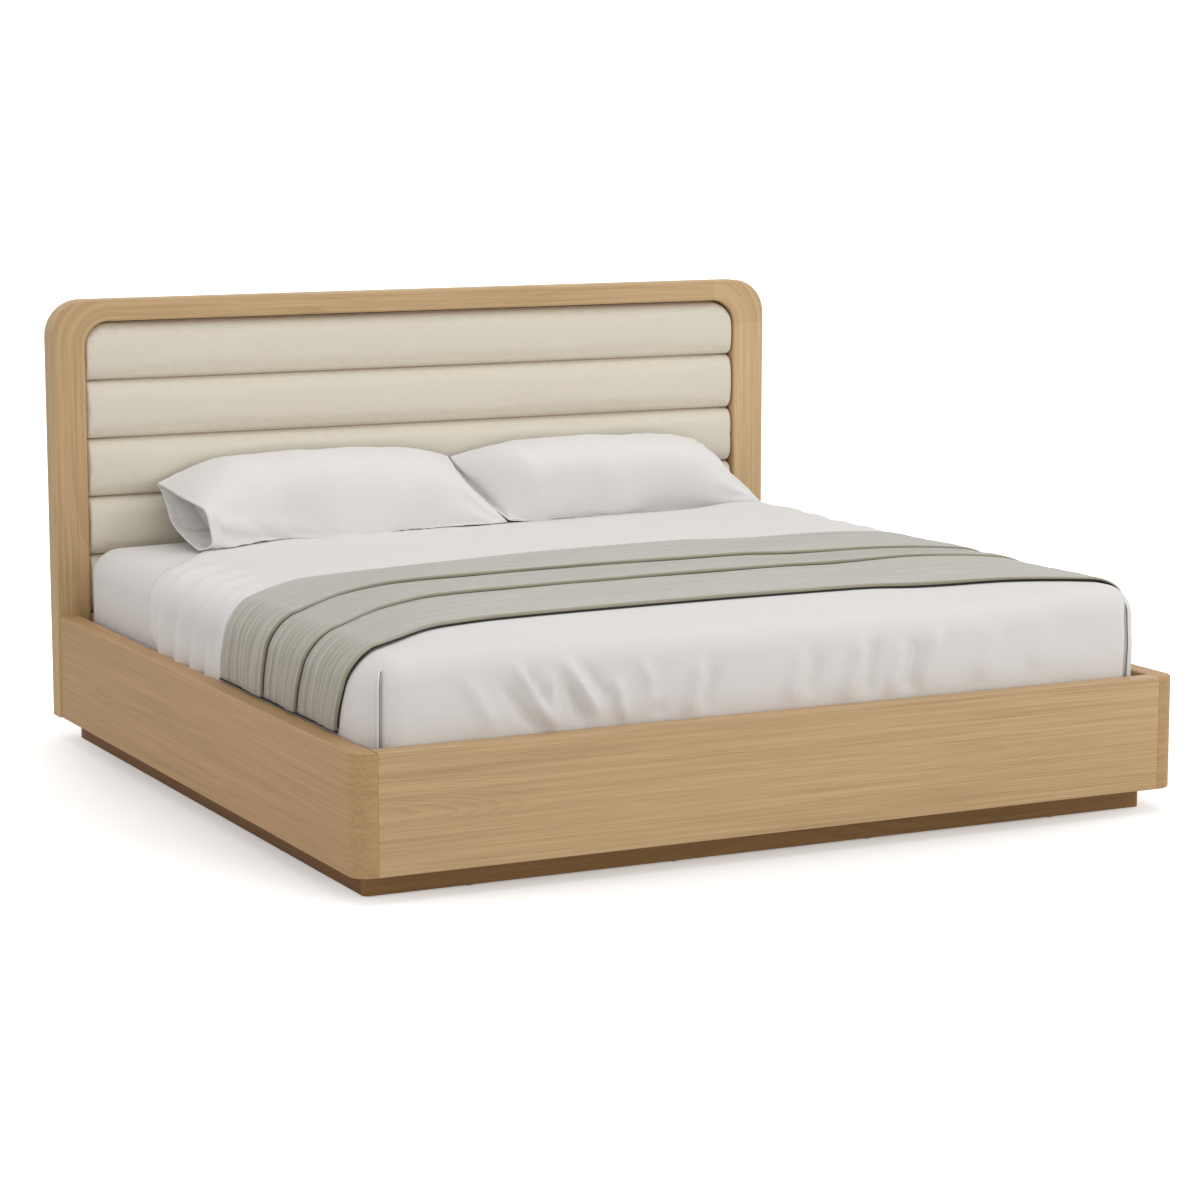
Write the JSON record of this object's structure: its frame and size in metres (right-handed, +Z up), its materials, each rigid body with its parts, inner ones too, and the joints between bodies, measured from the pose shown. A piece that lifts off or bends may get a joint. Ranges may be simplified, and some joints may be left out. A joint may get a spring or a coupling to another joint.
{
  "type": "platform bed",
  "caption": "Low platform bed with thick rounded oak rails on a recessed plinth, an oak-framed headboard with padded horizontal channels, and a mattress with pillows, coverlet and throw.",
  "frame": {"origin": "on the floor, under the middle of the bed's overall width and length", "axes": "+X across the bed to the right of someone facing the headboard from the foot, +Y from the foot to the headboard, +Z up"},
  "size_m": [2.16, 2.13, 1.18],
  "materials": {
    "oak": "satin clear lacquer on pale oak",
    "plinth_wood": "matt brown stain",
    "framing_wood": "planed softwood",
    "slat_wood": "planed birch",
    "panel_board": "plain board",
    "pad_fabric": "cream woven upholstery",
    "steel": "zinc plated",
    "cap_plastic": "matt brown",
    "felt": "felt",
    "strap_webbing": "woven tape",
    "mattress_ticking": "knitted ticking",
    "sheet_cotton": "plain cotton",
    "coverlet_cotton": "washed white cotton",
    "throw_linen": "grey-green linen",
    "pillow_fill": "plain ticking",
    "case_cotton": "washed white cotton"
  },
  "bodies": {
    "base": {"back_panel_screws": "steel", "barrel_nuts": "steel", "beam_hanger_foot": "steel", "beam_hanger_head": "steel", "bolt_caps": "cap_plastic", "bracket_screws": "steel", "centre_beam": "framing_wood", "centre_legs": "framing_wood", "felt_glides": "felt", "foot_batten": "framing_wood", "foot_bracket_left": "steel", "foot_bracket_right": "steel", "foot_rail": "oak", "frame_dowels": "framing_wood", "head_batten": "framing_wood", "headboard_back_panel": "panel_board", "headboard_bolts": "steel", "headboard_corner_left": "oak", "headboard_corner_right": "oak", "headboard_lower_rail": "framing_wood", "headboard_pad_1": "pad_fabric", "headboard_pad_2": "pad_fabric", "headboard_pad_3": "pad_fabric", "headboard_pad_4": "pad_fabric", "headboard_pad_5": "pad_fabric", "headboard_pad_board": "panel_board", "headboard_stile_left": "oak", "headboard_stile_right": "oak", "headboard_top_rail": "oak", "ledger_left": "framing_wood", "ledger_right": "framing_wood", "ledger_screws": "steel", "plinth_back": "plinth_wood", "plinth_corner_blocks": "framing_wood", "plinth_front": "plinth_wood", "plinth_left": "plinth_wood", "plinth_right": "plinth_wood", "side_batten_left": "framing_wood", "side_batten_right": "framing_wood", "side_rail_left": "oak", "side_rail_right": "oak", "slat_straps_left": "strap_webbing", "slat_straps_right": "strap_webbing", "slats_left": "slat_wood", "slats_right": "slat_wood"},
    "mattress": {"mattress": "mattress_ticking", "fitted_sheet": "sheet_cotton", "coverlet": "coverlet_cotton"},
    "throw": {"throw": "throw_linen"},
    "pillow_left": {"pillow_left": "pillow_fill", "pillowcase_left": "case_cotton"},
    "pillow_right": {"pillow_right": "pillow_fill", "pillowcase_right": "case_cotton"},
    "levelling_foot_foot": {"levelling_foot_foot": "steel"},
    "levelling_foot_middle": {"levelling_foot_middle": "steel"},
    "levelling_foot_head": {"levelling_foot_head": "steel"}
  },
  "joints": [
    {"name": "mattress_lift", "type": "slide", "parent": "base", "child": "mattress", "axis": [0, 0, 1], "range_m": [0, 0.2]},
    {"name": "throw_lift", "type": "slide", "parent": "mattress", "child": "throw", "axis": [0, 0, 1], "range_m": [0, 0.25]},
    {"name": "pillow_left_lift", "type": "slide", "parent": "mattress", "child": "pillow_left", "axis": [0, 0, 1], "range_m": [0, 0.2]},
    {"name": "pillow_right_lift", "type": "slide", "parent": "mattress", "child": "pillow_right", "axis": [0, 0, 1], "range_m": [0, 0.2]},
    {"name": "levelling_foot_foot_turn", "type": "hinge", "parent": "base", "child": "levelling_foot_foot", "pos_m": [0, -0.53, 0], "axis": [0, 0, 1], "continuous": true},
    {"name": "levelling_foot_middle_turn", "type": "hinge", "parent": "base", "child": "levelling_foot_middle", "pos_m": [0, -0.03, 0], "axis": [0, 0, 1], "continuous": true},
    {"name": "levelling_foot_head_turn", "type": "hinge", "parent": "base", "child": "levelling_foot_head", "pos_m": [0, 0.47, 0], "axis": [0, 0, 1], "continuous": true}
  ]
}
